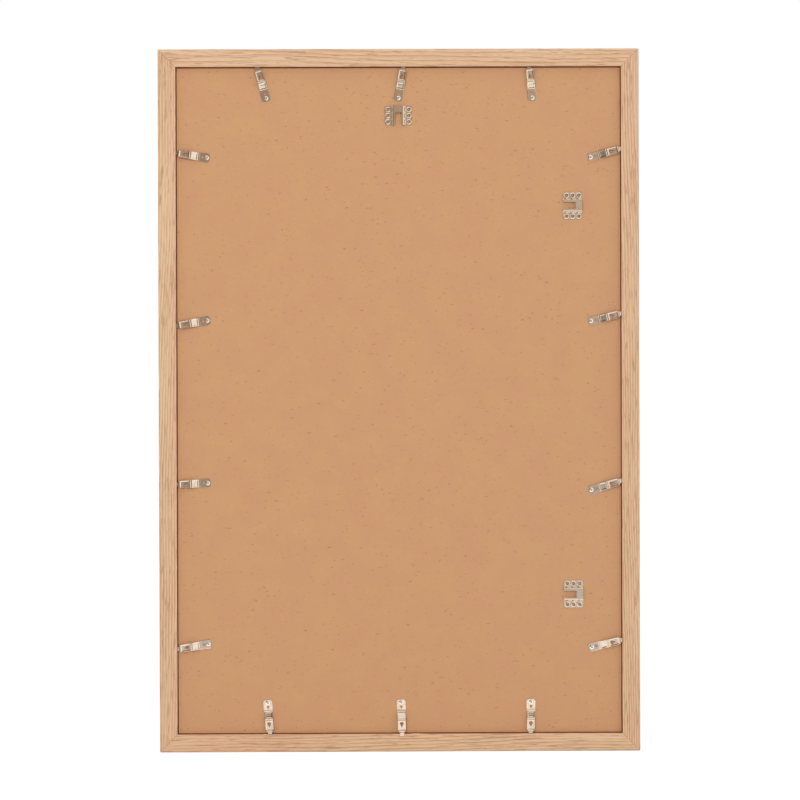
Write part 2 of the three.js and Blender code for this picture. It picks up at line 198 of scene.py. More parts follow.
def copy_of(obj, name, matrix):
    """A copy with its own mesh, moved by the matrix."""
    twin = obj.copy()
    twin.data = obj.data.copy()
    twin.name = name
    twin.data.name = name
    scene.collection.objects.link(twin)
    twin.data.transform(matrix)
    return twin


def dress(obj, body, node, material):
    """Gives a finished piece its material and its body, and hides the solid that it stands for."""
    obj.data.materials.clear()
    obj.data.materials.append(material)
    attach(obj, body)
    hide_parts(node)


# %% [markdown]
# ## Helpers for materials
# Colours are written as they look on a screen, and the shader wants them linear. A group holds an
# effect that several materials use.

# %% Material helpers


def screen(red, green, blue):
    """A colour from 0 to 255 a channel, made linear."""
    def linear(c):
        c = c / 255
        return c / 12.92 if c <= 0.04045 else ((c + 0.055) / 1.055) ** 2.4
    return (linear(red), linear(green), linear(blue), 1.0)


class Nodes:
    """Adds nodes to a tree and links them by name, so that a material reads as a list of steps."""

    def __init__(self, tree):
        self.tree = tree

    def fill(self, node, inputs):
        """Links or sets inputs of a node, by their names or numbers."""
        for name, value in inputs.items():
            if isinstance(value, bpy.types.NodeSocket):
                self.tree.links.new(value, node.inputs[name])
            else:
                node.inputs[name].default_value = value
        return node

    def add(self, kind, inputs=None, **settings):
        node = self.tree.nodes.new(kind)
        for name, value in settings.items():
            setattr(node, name, value)
        return self.fill(node, inputs or {})

    def math(self, operation, a, b=0.0):
        return self.add("ShaderNodeMath", {0: a, 1: b}, operation=operation).outputs[0]

    def times(self, a, b):
        return self.math("MULTIPLY", a, b)

    def ramp(self, value, stops):
        """A colour ramp: stops are (place, grey or colour)."""
        node = self.add("ShaderNodeValToRGB", {"Fac": value})
        elements = node.color_ramp.elements
        while len(elements) < len(stops):
            elements.new(0.5)
        for element, (place, colour) in zip(elements, stops):
            element.position = place
            element.color = colour if hasattr(colour, "__len__") else (colour, colour, colour, 1.0)
        return node.outputs["Color"]

    def mix(self, share, a, b):
        """A mix of two colours. Inputs 6 and 7 and output 2 are the colour ones."""
        return self.add("ShaderNodeMix", {0: share, 6: a, 7: b}, data_type="RGBA").outputs[2]

    def axes(self, vector):
        return self.add("ShaderNodeSeparateXYZ", {"Vector": vector}).outputs

    def group(self, group, inputs):
        return self.add("ShaderNodeGroup", inputs, node_tree=group).outputs

    def scaled(self, given):
        """The vector of a group times its scale."""
        inputs = {0: given["Vector"], "Scale": given["Scale"]}
        return self.add("ShaderNodeVectorMath", inputs, operation="SCALE").outputs["Vector"]

    def between(self, value, low, high, out_low, out_high):
        ends = {"From Min": low, "From Max": high, "To Min": out_low, "To Max": out_high}
        return self.add("ShaderNodeMapRange", {"Value": value, **ends}).outputs["Result"]

    def noise(self, vector, scale, detail, roughness):
        kind = {"Scale": scale, "Detail": detail, "Roughness": roughness}
        return self.add("ShaderNodeTexNoise", {"Vector": vector, **kind}).outputs["Fac"]

    def stretched(self, vector, scale, place=(0, 0, 0), turn=(0, 0, 0)):
        move = {"Location": place, "Rotation": turn, "Scale": scale}
        return self.add("ShaderNodeMapping", {"Vector": vector, **move}).outputs["Vector"]

    def streaks(self, vector, stretch, detail, roughness, turn=(0, 0, 0), scale=1.0):
        """Noise that is drawn out by different amounts along the three axes."""
        return self.noise(self.stretched(vector, stretch, turn=turn), scale, detail, roughness)


def new_group(name, inputs, outputs):
    """An empty node group: a vector, numbers with their defaults, and the numbers that it puts out."""
    group = bpy.data.node_groups.new(name, "ShaderNodeTree")
    group.interface.new_socket("Vector", in_out="INPUT", socket_type="NodeSocketVector")
    for socket, value in inputs.items():
        made = group.interface.new_socket(socket, in_out="INPUT", socket_type="NodeSocketFloat")
        made.default_value = value
    for socket in outputs:
        group.interface.new_socket(socket, in_out="OUTPUT", socket_type="NodeSocketFloat")
    nodes = Nodes(group)
    return group, nodes, nodes.add("NodeGroupInput").outputs, nodes.add("NodeGroupOutput")


def new_material(name):
    """A material with a Principled shader and the object's own coordinates."""
    material = bpy.data.materials.new(name)
    material.use_nodes = True
    nodes = Nodes(material.node_tree)
    where = nodes.add("ShaderNodeTexCoord").outputs["Object"]
    return material, nodes, material.node_tree.nodes["Principled BSDF"], where


def bump(nodes, height, strength, distance):
    node = nodes.add("ShaderNodeBump", {"Height": height, "Strength": strength, "Distance": distance})
    return node.outputs["Normal"]


# %% [markdown]
# ## Oak
# A rail is sawn along the tree, so the growth rings show as long lines that wander a little. Each
# ring is pale early wood that darkens to a thin line of late wood. Fine dark pores lie along the
# grain in the early wood. The ring is worked out as the distance from a pith outside the board, bent
# by slow noise, and its line fades and darkens along the grain. Beech uses finer rings.
#
# A noise is written as its stretch on the three axes, its detail and its roughness. A range is
# written as the two values that come in and the two that they become.

# %% The wood figure
SLOW_BEND = ((2.6, 16.0, 16.0), 2.0, 0.45)
QUICK_BEND = ((14.0, 70.0, 70.0), 3.0, 0.55)
SLOW_SHARE, QUICK_SHARE = 5.0, 0.45
LINE_STRENGTH = ((7.0, 60.0, 60.0), 2.0, 0.5)
STRENGTH_RANGE = (0.3, 0.62, 0.4, 1.2)
LATE_WOOD = [(0.0, 0.08), (0.4, 0.14), (0.74, 0.5), (0.9, 1.0), (1.0, 0.08)]
PORE_NOISE = ((36.0, 640.0, 640.0), 2.0, 0.6)
PORE_EDGE = [(0.0, 1.0), (0.36, 1.0), (0.44, 0.0), (1.0, 0.0)]
TONE_NOISE = ((2.2, 34.0, 34.0), 3.0, 0.5)
FIBRE_NOISE = ((30.0, 1500.0, 1500.0), 2.0, 0.7)


def make_wood_figure():
    group, n, given, out = new_group(
        "wood_figure",
        {"Ring width": 0.0036, "Wander": 0.004, "Pore scale": 1.0},
        ["Ring", "Pores", "Tone", "Fibre"],
    )
    where, wander = given["Vector"], given["Wander"]
    slow = n.math("SUBTRACT", n.streaks(where, *SLOW_BEND), 0.5)
    quick = n.math("SUBTRACT", n.streaks(where, *QUICK_BEND), 0.5)
    axes = n.axes(where)
    depth = n.times(axes["Y"], axes["Y"])
    width = n.times(axes["Z"], axes["Z"])
    reach = n.math("SQRT", n.math("ADD", depth, width))
    bend = n.times(n.times(slow, wander), SLOW_SHARE)
    ripple = n.times(quick, n.times(wander, QUICK_SHARE))
    radius = n.math("ADD", reach, n.math("ADD", bend, ripple))
    line = n.ramp(n.math("FRACT", n.math("DIVIDE", radius, given["Ring width"])), LATE_WOOD)
    strength = n.between(n.streaks(where, *LINE_STRENGTH), *STRENGTH_RANGE)
    n.fill(out, {
        "Ring": n.times(line, strength),
        "Pores": n.ramp(n.streaks(where, *PORE_NOISE, scale=given["Pore scale"]), PORE_EDGE),
        "Tone": n.streaks(where, *TONE_NOISE),
        "Fibre": n.streaks(where, *FIBRE_NOISE),
    })
    return group


WOOD_FIGURE = make_wood_figure()
print("group", WOOD_FIGURE.name, "sockets", [s.name for s in WOOD_FIGURE.interface.items_tree])

# %% [markdown]
# Inside the opening the walls of the rebate and the groove get a painted shade: a darker, redder
# colour than the oak round them. They are found by their place: behind the lip, under the back,
# and no farther out than the groove reaches.

# %% Oak, one board for each rail
OAK_PALE = screen(234, 200, 161)
OAK_BLUSH = screen(226, 183, 150)
OAK_DARK = screen(182, 132, 92)
OAK_PORE = screen(146, 96, 62)
# A darker, redder colour painted on the walls in the opening as painted shade.
OAK_WALL_SHADE = screen(180, 98, 54)
OAK_FIBRES = [(0.3, screen(120, 84, 56)), (0.7, screen(255, 232, 200))]
TONE_RANGE = (0.32, 0.68, 0.0, 1.0)
RING_SHARE, EARLY_SHARE, PORE_SHARE, FIBRE_SHARE, WALL_SHADE_SHARE = 0.85, 0.6, 0.55, 0.12, 0.8
OAK_ROUGHNESS = (0.0, 1.0, 0.62, 0.5)
OAK_BUMP = (0.35, 0.00012)
OAK_GLOSS = 1.48
OPENING, OPENING_MIDDLE = (0.602, 0.902), -0.39
WALL_SHADE_REACH = (0.0046, 0.005, 1.0, 0.0)
UNDER_BACK = (-0.0009, -0.0003, 1.0, 0.0)
BEHIND_LIP = (-0.0137, -0.0131, 0.0, 1.0)


def in_opening(n, where):
    """Share of painted shade on the walls in the opening, 0 or 1 with a soft edge."""
    axes = n.axes(where)
    aside = n.math("SUBTRACT", n.math("ABSOLUTE", axes["X"]), OPENING[0] / 2)
    height = n.math("ABSOLUTE", n.math("SUBTRACT", axes["Z"], OPENING_MIDDLE))
    beyond = n.math("MAXIMUM", aside, n.math("SUBTRACT", height, OPENING[1] / 2))
    deep = n.times(n.between(axes["Y"], *UNDER_BACK), n.between(axes["Y"], *BEHIND_LIP))
    return n.times(n.between(beyond, *WALL_SHADE_REACH), deep)


def make_oak(name, turn, pith, tilt):
    """Oak whose grain runs along X, or along Z where turned, with the pith at its own place."""
    material, n, shader, where = new_material(name)
    along = n.stretched(where, (1, 1, 1), turn=(0, math.radians(turn), 0))
    lean = (0, math.radians(tilt), math.radians(tilt / 2))
    figure = n.group(WOOD_FIGURE, {"Vector": n.stretched(along, (1, 1, 1), place=pith, turn=lean)})
    base = n.mix(n.between(figure["Tone"], *TONE_RANGE), OAK_PALE, OAK_BLUSH)
    ringed = n.mix(n.times(figure["Ring"], RING_SHARE), base, OAK_DARK)
    in_early = n.math("SUBTRACT", 1.0, n.times(figure["Ring"], EARLY_SHARE))
    pores = n.times(n.times(figure["Pores"], in_early), PORE_SHARE)
    fibred = n.mix(FIBRE_SHARE, n.mix(pores, ringed, OAK_PORE), n.ramp(figure["Fibre"], OAK_FIBRES))
    height = n.math("SUBTRACT", n.times(figure["Fibre"], 0.3), figure["Pores"])
    n.fill(shader, {
        # The walls in the opening get a painted shade, darker and redder than the oak.
        "Base Color": n.mix(n.times(in_opening(n, where), WALL_SHADE_SHARE), fibred, OAK_WALL_SHADE),
        "Roughness": n.between(figure["Ring"], *OAK_ROUGHNESS),
        "Normal": bump(n, height, *OAK_BUMP),
        "IOR": OAK_GLOSS,
    })
    return material


OAK = {
    "top": make_oak("oak_top", 0, (0.12, 0.05, -0.02), 2.2),
    "bottom": make_oak("oak_bottom", 0, (0.71, 0.043, 0.93), -1.2),
    "left": make_oak("oak_left", 90, (0.33, 0.055, -0.25), 1.2),
    "right": make_oak("oak_right", 90, (0.91, 0.048, 0.38), -1.0),
}
print("oak boards", sorted(OAK))

# %% Beech for the hidden dowels
BEECH_WOOD = screen(214, 176, 134)
BEECH_RING = screen(180, 138, 98)
BEECH_FLECK = screen(150, 108, 74)
BEECH_FIGURE = {"Ring width": 0.002, "Wander": 0.002, "Pore scale": 2.0}
BEECH_PITH = (0, 0.03, 0.02)


def make_beech():
    material, n, shader, where = new_material("beech")
    placed = n.stretched(where, (1, 1, 1), place=BEECH_PITH, turn=(0, math.radians(45), 0))
    figure = n.group(WOOD_FIGURE, {"Vector": placed, **BEECH_FIGURE})
    ringed = n.mix(n.times(figure["Ring"], 0.4), BEECH_WOOD, BEECH_RING)
    n.fill(shader, {
        "Base Color": n.mix(n.times(figure["Pores"], 0.3), ringed, BEECH_FLECK),
        "Roughness": n.between(figure["Fibre"], 0.3, 0.7, 0.6, 0.75),
        "Normal": bump(n, figure["Fibre"], 0.2, 0.0001),
    })
    return material


BEECH = make_beech()
print("material", BEECH.name)

# %% [markdown]
# ## Hardboard and paper
# Hardboard is wood fibre pressed flat: one warm brown with slow clouds, and a scatter of darker and
# paler flecks a few millimetres long that lie every way. Paper takes them at a tenth of the strength.

# %% Fibre flecks
FLECK_NOISE, FLECK_TURNS = ((150, 150, 330), 1.0, 0.4), (0.4, 1.5, 2.6)
CLOUD_NOISE = (26.0, 3.0, 0.55)
GRAIN_NOISE = (900.0, 2.0, 0.6)
DARK_EDGE = [(0.0, 0.0), (0.7, 0.0), (0.77, 1.0), (1.0, 1.0)]
PALE_EDGE = [(0.0, 0.0), (0.66, 0.0), (0.77, 1.0), (1.0, 1.0)]


def make_flecks():
    group, n, given, out = new_group("fibre_flecks", {"Scale": 1.0}, ["Dark", "Pale", "Cloud", "Grain"])
    where = n.scaled(given)
    layers = [n.streaks(where, *FLECK_NOISE, turn=(0, turn, 0)) for turn in FLECK_TURNS]
    n.fill(out, {
        "Dark": n.ramp(n.math("MAXIMUM", layers[0], layers[1]), DARK_EDGE),
        "Pale": n.ramp(layers[2], PALE_EDGE),
        "Cloud": n.noise(where, *CLOUD_NOISE),
        "Grain": n.noise(where, *GRAIN_NOISE),
    })
    return group


FLECKS = make_flecks()
print("group", FLECKS.name)

# %% Hardboard
BOARD_BROWN, BOARD_CLOUD = screen(206, 155, 116), screen(208, 161, 114)
BOARD_GRAIN = screen(186, 135, 94)
BOARD_DARK = screen(164, 112, 74)
BOARD_PALE = screen(228, 184, 144)
CLOUD_RANGE = (0.3, 0.7, 0.0, 1.0)
GRAIN_RANGE = (0.25, 0.75, 0.0, 0.22)
DARK_SHARE, PALE_SHARE = 0.6, 0.14


def make_hardboard():
    material, n, shader, where = new_material("hardboard")
    flecks = n.group(FLECKS, {"Vector": where})
    base = n.mix(n.between(flecks["Cloud"], *CLOUD_RANGE), BOARD_BROWN, BOARD_CLOUD)
    grainy = n.mix(n.between(flecks["Grain"], *GRAIN_RANGE), base, BOARD_GRAIN)
    darker = n.mix(n.times(flecks["Dark"], DARK_SHARE), grainy, BOARD_DARK)
    height = n.math("SUBTRACT", flecks["Grain"], n.times(flecks["Dark"], 0.8))
    n.fill(shader, {
        "Base Color": n.mix(n.times(flecks["Pale"], PALE_SHARE), darker, BOARD_PALE),
        "Roughness": n.between(flecks["Grain"], 0.2, 0.8, 0.5, 0.66),
        "Normal": bump(n, height, 0.3, 0.00015),
    })
    return material


HARDBOARD = make_hardboard()
print("material", HARDBOARD.name)

# %% Paper and glass
PAPER_WHITE, PAPER_CLOUD = screen(243, 241, 234), screen(247, 245, 240)
PAPER_FLECK = screen(205, 196, 180)
PAPER_SCALE, PAPER_SHARE = 1.6, 0.06
GLASS_TINT = screen(250, 253, 251)
SMEAR_NOISE, SMEAR_RANGE = (7.0, 3.0, 0.5), (0.35, 0.75, 0.01, 0.05)


def make_paper():
    material, n, shader, where = new_material("paper")
    flecks = n.group(FLECKS, {"Vector": where, "Scale": PAPER_SCALE})
    base = n.mix(n.between(flecks["Cloud"], *CLOUD_RANGE), PAPER_WHITE, PAPER_CLOUD)
    n.fill(shader, {
        "Base Color": n.mix(n.times(flecks["Dark"], PAPER_SHARE), base, PAPER_FLECK),
        "Roughness": n.between(flecks["Grain"], 0.2, 0.8, 0.84, 0.95),
        "Normal": bump(n, flecks["Grain"], 0.2, 0.00008),
    })
    return material


def make_glass():
    """Clear glass, a little rougher where it was wiped."""
    material, n, shader, where = new_material("glass")
    n.fill(shader, {
        "Base Color": GLASS_TINT,
        "Transmission Weight": 1.0,
        "IOR": 1.5,
        "Roughness": n.between(n.noise(where, *SMEAR_NOISE), *SMEAR_RANGE),
    })
    return material


PAPER = make_paper()
GLASS = make_glass()
print("materials", PAPER.name, GLASS.name)

# %% [markdown]
# ## Plated steel
# The clips, rivets and hangers are pressed from sheet steel and plated. The plate is bright but not
# a mirror: rolling left fine lines, the press left scuffs, and handling left dull spots.

# %% Plate wear
DULL_NOISE, DULL_RANGE = (240.0, 4.0, 0.6), (0.35, 0.7, 0.0, 1.0)
SCUFF_NOISE, SCUFF_TURN = ((260, 2600, 2600), 2.0, 0.6), 0.7
SCUFF_EDGE = [(0.0, 0.0), (0.62, 0.0), (0.72, 1.0), (1.0, 1.0)]
ROLLING_NOISE, ROLLING_TURN = ((180, 3200, 3200), 2.0, 0.7), -0.9


def make_plate_wear():
    group, n, given, out = new_group("plate_wear", {"Scale": 1.0}, ["Dull", "Scuffs", "Lines"])
    where = n.scaled(given)
    n.fill(out, {
        "Dull": n.between(n.noise(where, *DULL_NOISE), *DULL_RANGE),
        "Scuffs": n.ramp(n.streaks(where, *SCUFF_NOISE, turn=(0, SCUFF_TURN, 0)), SCUFF_EDGE),
        "Lines": n.streaks(where, *ROLLING_NOISE, turn=(0, ROLLING_TURN, 0)),
    })
    return group


PLATE_WEAR = make_plate_wear()
print("group", PLATE_WEAR.name)

# %% Metals
DULL_SHARE, SCUFF_SHARE = 0.5, 0.15
PLATE_BUMP = (0.12, 0.00002)


def make_plate(name, bright, dull, smoothest, roughest, scale):
    material, n, shader, where = new_material(name)
    wear = n.group(PLATE_WEAR, {"Vector": where, "Scale": scale})
    tone = n.mix(n.times(wear["Dull"], DULL_SHARE), bright, dull)
    worn = n.math("ADD", wear["Dull"], n.times(wear["Scuffs"], 0.5))
    height = n.math("SUBTRACT", n.times(wear["Lines"], 0.4), wear["Scuffs"])
    n.fill(shader, {
        "Base Color": n.mix(n.times(wear["Scuffs"], SCUFF_SHARE), tone, bright),
        "Metallic": 1.0,
        "Roughness": n.between(worn, 0.0, 1.4, smoothest, roughest),
        "Normal": bump(n, height, *PLATE_BUMP),
    })
    return material


CLIP_PLATE = make_plate("plated_clip", screen(238, 221, 201), screen(216, 191, 166), 0.17, 0.28, 0.6)
RIVET_PLATE = make_plate("plated_rivet", screen(252, 247, 238), screen(238, 227, 213), 0.08, 0.15, 1.0)
HANGER_PLATE = make_plate("plated_hanger", screen(240, 225, 206), screen(216, 194, 172), 0.16, 0.27, 0.6)
print("metals", CLIP_PLATE.name, RIVET_PLATE.name, HANGER_PLATE.name)

# %% [markdown]
# ## The rails
# Each rail is one length of moulded oak: a square back part, a lip in front that holds the glass,
# and a groove for the tongues of the clips. It could be a profile swept along a path. Here a block
# is cut with bisect at the heights of the lip and the groove. Those strips are then extruded out
# and in, the arrises are rounded by bevel, and both ends are cut to their mitres last, as on a saw.
# An arris is written as its width and its steps.

# %% Sizes of the moulding
OUTER_WIDTH, OUTER_HEIGHT = (cad_box[1] - cad_box[0]).x, (cad_box[1] - cad_box[0]).z
FRAME_MIDDLE = Vector((0, 0, (cad_box[0].z + cad_box[1].z) / 2))
RAIL_DEPTH = 20 * MM
WALL = 24 * MM
LIP = 6 * MM
REBATE_DEPTH = 12 * MM
GROOVE = (-3.6 * MM, -1.4 * MM)
GROOVE_DEPTH = 4.4 * MM
OUTER_ARRIS, CORNER_ARRIS = (2 * MM, 6), (2 * MM, 6)
INNER_ARRIS, SIGHT_ARRIS = (0.5 * MM, 3), (1.2 * MM, 4)
MITRE_GAP = 0.1 * MM
HEADINGS = {"top": 0, "left": 90, "bottom": 180, "right": -90}
print("outer size", round(OUTER_WIDTH, 4), round(OUTER_HEIGHT, 4))

# %% A length of moulding, drawn as the top rail


def bisect(obj, place, normal, clear=False):
    """Cuts the whole mesh by a plane, and clears what lies on the side of the normal if asked."""
    begin_edit(obj, "SELECT")
    bpy.ops.mesh.bisect(plane_co=place, plane_no=normal, clear_outer=clear, use_fill=clear)
    end_edit()


def extrude_faces(obj, test, way):
    begin_edit(obj)
    pick("faces", test)
    bpy.ops.mesh.extrude_region_move(TRANSFORM_OT_translate={"value": way})
    end_edit()


def bevel_edges(obj, test, width, steps):
    begin_edit(obj)
    pick("edges", test)
    bpy.ops.mesh.bevel(offset=width, segments=steps, affect="EDGES")
    end_edit()


def make_moulding(length):
    """Moulding along X with its outer face up, its back at y = 0 and its rebate wall at z = 0."""
    rail = add_primitive("cube", "moulding", size=1, location=(0, -RAIL_DEPTH / 2, WALL / 2),
                         scale=(length, RAIL_DEPTH, WALL))
    outer = every(lambda v: near(v.z, WALL) and (near(v.y, 0) or near(v.y, -RAIL_DEPTH)))
    bevel_edges(rail, lambda ends: outer(ends) and near(ends[0].y, ends[1].y), *OUTER_ARRIS)
    for height in (-REBATE_DEPTH, *GROOVE):
        bisect(rail, (0, height, 0), (0, 1, 0))
    low, high = GROOVE
    under_rebate = every(lambda v: near(v.z, 0) and v.y < CLOSE - REBATE_DEPTH)
    in_groove = every(lambda v: near(v.z, 0) and low - CLOSE < v.y < high + CLOSE)
    extrude_faces(rail, under_rebate, (0, 0, -LIP))
    extrude_faces(rail, in_groove, (0, 0, GROOVE_DEPTH))
    sight_edge = every(lambda v: near(v.z, -LIP) and near(v.y, -RAIL_DEPTH))
    inner_edge = every(lambda v: near(v.z, 0) and near(v.y, 0))
    bevel_edges(rail, sight_edge, *SIGHT_ARRIS)
    bevel_edges(rail, inner_edge, *INNER_ARRIS)
    return rail


# %% [markdown]
# Where tongues have been turned in, splinters stand up from the inner arris. The moulding is cut
# across at five places round each splinter, and the arris between them is pulled over the opening.
# A splinter is written as its place along the rail, its length and its reach.

# %% Splinters, mitres and dowel holes
SPLINTER_CUTS = (-0.5, -0.28, 0.05, 0.32, 0.5)
SPLINTER_EDGE, SPLINTER_DEPTH, SPLINTER_DROP = 0.45, 1.2, 0.35
DRILL = {"radius": 3.3 * MM, "depth": 21 * MM, "vertices": 32}
DOWEL_FROM_BACK = 11 * MM
SPLINTERS = {
    "top": [(243, 5, 0.5), (-141, 4, 0.4)],
    "left": [(225, 6, 0.6), (-14, 4, 0.4)],
    "bottom": [(19, 9, 1.0), (24.5, 5, 1.3), (-183, 6, 0.8), (186, 5, 0.5)],
    "right": [(-212, 5, 0.5), (95, 4, 0.4)],
}


def raise_splinter(rail, along, length, reach):
    """Pulls out a short stretch of the arris, high in its middle and nothing at its ends."""
    for share in SPLINTER_CUTS:
        bisect(rail, ((along + share * length) * MM, 0, 0), (1, 0, 0))
    for vertex in rail.data.vertices:
        share = (vertex.co.x / MM - along) / length
        on_arris = vertex.co.z < 1.0 * MM and vertex.co.y > -SPLINTER_DEPTH * MM
        if on_arris and abs(share) < SPLINTER_EDGE:
            pull = reach * (1 - abs(share) * 2)
            vertex.co.z -= pull * MM
            vertex.co.y -= SPLINTER_DROP * pull * MM


def cut_mitres(rail, length):
    for end in (-1, 1):
        corner = Vector((end * length / 2, 0, WALL))
        normal = Vector((end, 0, -1)).normalized()
        bisect(rail, corner - MITRE_GAP * normal, normal, clear=True)


def drill_for_dowels(rail, length):
    for end in (-1, 1):
        place = (end * (length / 2 - WALL / 2), -DOWEL_FROM_BACK, WALL / 2)
        turn = (0, -end * math.radians(45), 0)
        cut(rail, add_primitive("cylinder", "drill", location=place, rotation=turn, **DRILL))


def outline_block():
    """A block as large as the whole frame, with its four upright corner edges rounded."""
    block = add_primitive("cube", "outline", size=1,
                          location=FRAME_MIDDLE - Vector((0, RAIL_DEPTH / 2, 0)),
                          scale=(OUTER_WIDTH, 2 * RAIL_DEPTH, OUTER_HEIGHT))
    upright = lambda ends: abs((ends[0] - ends[1]).y) > RAIL_DEPTH
    bevel_edges(block, upright, *CORNER_ARRIS)
    return block


def side_matrix(side):
    """The turn from a side, drawn as the top one, to its own place."""
    return Matrix.Translation(FRAME_MIDDLE) @ Matrix.Rotation(math.radians(HEADINGS[side]), 4, "Y")


# %% Four rails
RAIL_SMOOTHING = 35

for side in HEADINGS:
    upright = side in ("left", "right")
    length, across = (OUTER_HEIGHT, OUTER_WIDTH) if upright else (OUTER_WIDTH, OUTER_HEIGHT)
    rail = make_moulding(length)
    for splinter in SPLINTERS[side]:
        raise_splinter(rail, *splinter)
    cut_mitres(rail, length)
    drill_for_dowels(rail, length)
    rail.data.transform(side_matrix(side) @ Matrix.Translation((0, 0, across / 2 - WALL)))
    cut(rail, outline_block(), "INTERSECT")
    tidy_normals(rail)
    smooth(rail, RAIL_SMOOTHING)
    rail.name = f"oak_rail_{side}"
    dress(rail, "root", f"rail_{side}", OAK[side])
    print(rail.name, "faces", len(rail.data.polygons))

# %% [markdown]
# ## The turn clips
# A clip is blanked from sheet steel and pressed in a die: a flat tail under the rivet, a ramp, a
# crease between two beads, a head and a narrow tongue. The ramp and the head are dished, so that a
# rim stands along their edges and stiffens them. Here the edge of a plane is extruded from station
# to station along the clip, scaled to the width and lifted to the height there. Cuts across it give
# the columns that the dish is pressed into. Then it gets its thickness, soft edges and its holes.

# %% Plan of a clip, from the rivet towards the tongue, in millimetres
STEEL = 0.8
SEAT = 0.25
TAIL_END, TONGUE_END = -3.8, 44.5
TAIL_RADIUS, TONGUE_RADIUS = 3.4, 0.8
TAIL_HALF, TONGUE_HALF = 6.2, 2.7
FIRST_BEND, SECOND_BEND, THIRD_BEND = 11.0, 21.4, 38.4
HALF_WIDTHS = [(TAIL_END + TAIL_RADIUS, TAIL_HALF), (FIRST_BEND, 5.95), (12.8, 5.35), (SECOND_BEND, 5.35),
               (35.8, 5.25), (37.0, 4.9), (38.0, 4.35), (38.7, 3.75), (39.2, 3.0), (40.6, TONGUE_HALF),
               (TONGUE_END, TONGUE_HALF)]


def clip_half_width(s):
    if s < TAIL_END + TAIL_RADIUS:
        back = TAIL_END + TAIL_RADIUS - s
        return TAIL_HALF - TAIL_RADIUS + math.sqrt(max(0, TAIL_RADIUS ** 2 - back ** 2))
    if s > TONGUE_END - TONGUE_RADIUS:
        on = s - TONGUE_END + TONGUE_RADIUS
        return TONGUE_HALF - TONGUE_RADIUS + math.sqrt(max(0, TONGUE_RADIUS ** 2 - on ** 2))
    places, halves = zip(*HALF_WIDTHS)
    return float(np.interp(s, places, halves))


def smooth_step(t):
    t = min(1.0, max(0.0, t))
    return t * t * (3 - 2 * t)


print("half widths", [round(clip_half_width(s), 2) for s in (TAIL_END, 0, 20, 38, TONGUE_END)])

# %% [markdown]
# The die is worked out by place along the clip. A crease is written as its place, its depth and the
# height of the beads beside it, and a dish as its start, its end and its depth. The ramp has ribs.

# %% Height of a clip above the board, and the shape of the die
CLIP_RISE, TONGUE_RISE = 3.0, 2.7
RAMP_EASE = 0.45
HEAD_START, HEAD_TILT = 23.6, 0.7
TONGUE_DROP = 2
CREASES = [(12.0, 0.2, 0.12), (22.6, 0.5, 0.28), (39.1, 0.3, 0.22)]
CREASE_WIDTH, BEAD_WIDTH, BEAD_AWAY = 0.5, 0.55, 1.2
RIM, RIM_SLOPE = 0.75, 1.1
DISHES = [(12.9, 20.6, 0.34), (24.2, 37.6, 0.46)]
DISH_END = 1.3
RIBS, RIB_PITCH, RIB_DEPTH = (14, 19.4), 1.8, 0.06


def hump(away, width):
    return math.exp(-(away / width) ** 2)


def on_ramp(s):
    """Share of the ramp that lies behind a place, from 0 to 1."""
    return min(1.0, max(0.0, (s - FIRST_BEND) / (SECOND_BEND - FIRST_BEND)))


def past_third_bend(s):
    return smooth_step((s - THIRD_BEND) / TONGUE_DROP)


def clip_height(s):
    """Underside along the middle: an eased ramp, creases between beads, a step to the tongue."""
    t = on_ramp(s)
    height = CLIP_RISE * (t - RAMP_EASE * math.sin(2 * math.pi * t) / (2 * math.pi))
    for crease, deep, bead in CREASES:
        beads = hump(s - crease + BEAD_AWAY, BEAD_WIDTH) + hump(s - crease - BEAD_AWAY, BEAD_WIDTH)
        height -= deep * hump(s - crease, CREASE_WIDTH)
        height += bead * beads
    return height + (TONGUE_RISE - CLIP_RISE) * past_third_bend(s)


def dish_depth(x, s):
    """How far the die sinks a point: the middle of the ramp and head, but not their rims."""
    inside = smooth_step((clip_half_width(s) - abs(x) - RIM) / RIM_SLOPE)
    depth = 0.0
    for start, end, deepest in DISHES:
        depth += deepest * smooth_step((s - start) / DISH_END) * smooth_step((end - s) / DISH_END)
    if RIBS[0] < s < RIBS[1]:
        depth += RIB_DEPTH * (0.5 - 0.5 * math.cos(2 * math.pi * (s - RIBS[0]) / RIB_PITCH))
    return depth * inside


# %% The strip, pressed and pierced
CLIP_COLUMNS = 18
UPWARD = {"offset": 1.0, "use_even_offset": True}
SOFT_EDGE = {"width": 0.13 * MM, "segments": 2, "limit_method": "ANGLE", "angle_limit": math.radians(50)}
PLATE_SMOOTHING = 40
CLIP_PUNCHES = [(0, 1.9, 0.5, 1.4), (5.7, 1.9, 8.1, 0.7), (28.3, 2.6, 32.4, 0.7, 0.55)]
PUNCH_SIDES, PUNCH_HEIGHT = 40, 20 * MM
SPRUNG_TONGUE = 0.12


def sheet_strip(stations, columns):
    """A sheet along Z, extruded from station to station. A station is (place, half width, height)."""
    (start, first_half, first_height), (end, _, _) = stations[:2]
    strip = add_primitive("plane", "strip", size=1, rotation=(math.radians(-90), 0, 0),
                          location=(0, first_height * MM, (start + end) / 2 * MM),
                          scale=(2 * first_half * MM, (end - start) * MM, 1))
    begin_edit(strip)
    pick("edges", every(lambda v: near(v.z, end * MM)))
    for i in range(1, len(stations)):
        last, last_half, last_height = stations[i - 1]
        place, half, height = stations[i]
        if i > 1:
            lift = (0, (height - last_height) * MM, (place - last) * MM)
            bpy.ops.mesh.extrude_region_move(TRANSFORM_OT_translate={"value": lift})
        else:
            bpy.ops.transform.translate(value=(0, (height - last_height) * MM, 0))
        bpy.ops.transform.resize(value=(half / last_half, 1, 1), center_override=(0, 0, 0))
    pick("edges", lambda ends: near(ends[0].z, ends[1].z))
    bpy.ops.mesh.subdivide(number_cuts=columns - 1)
    end_edit()
    return strip


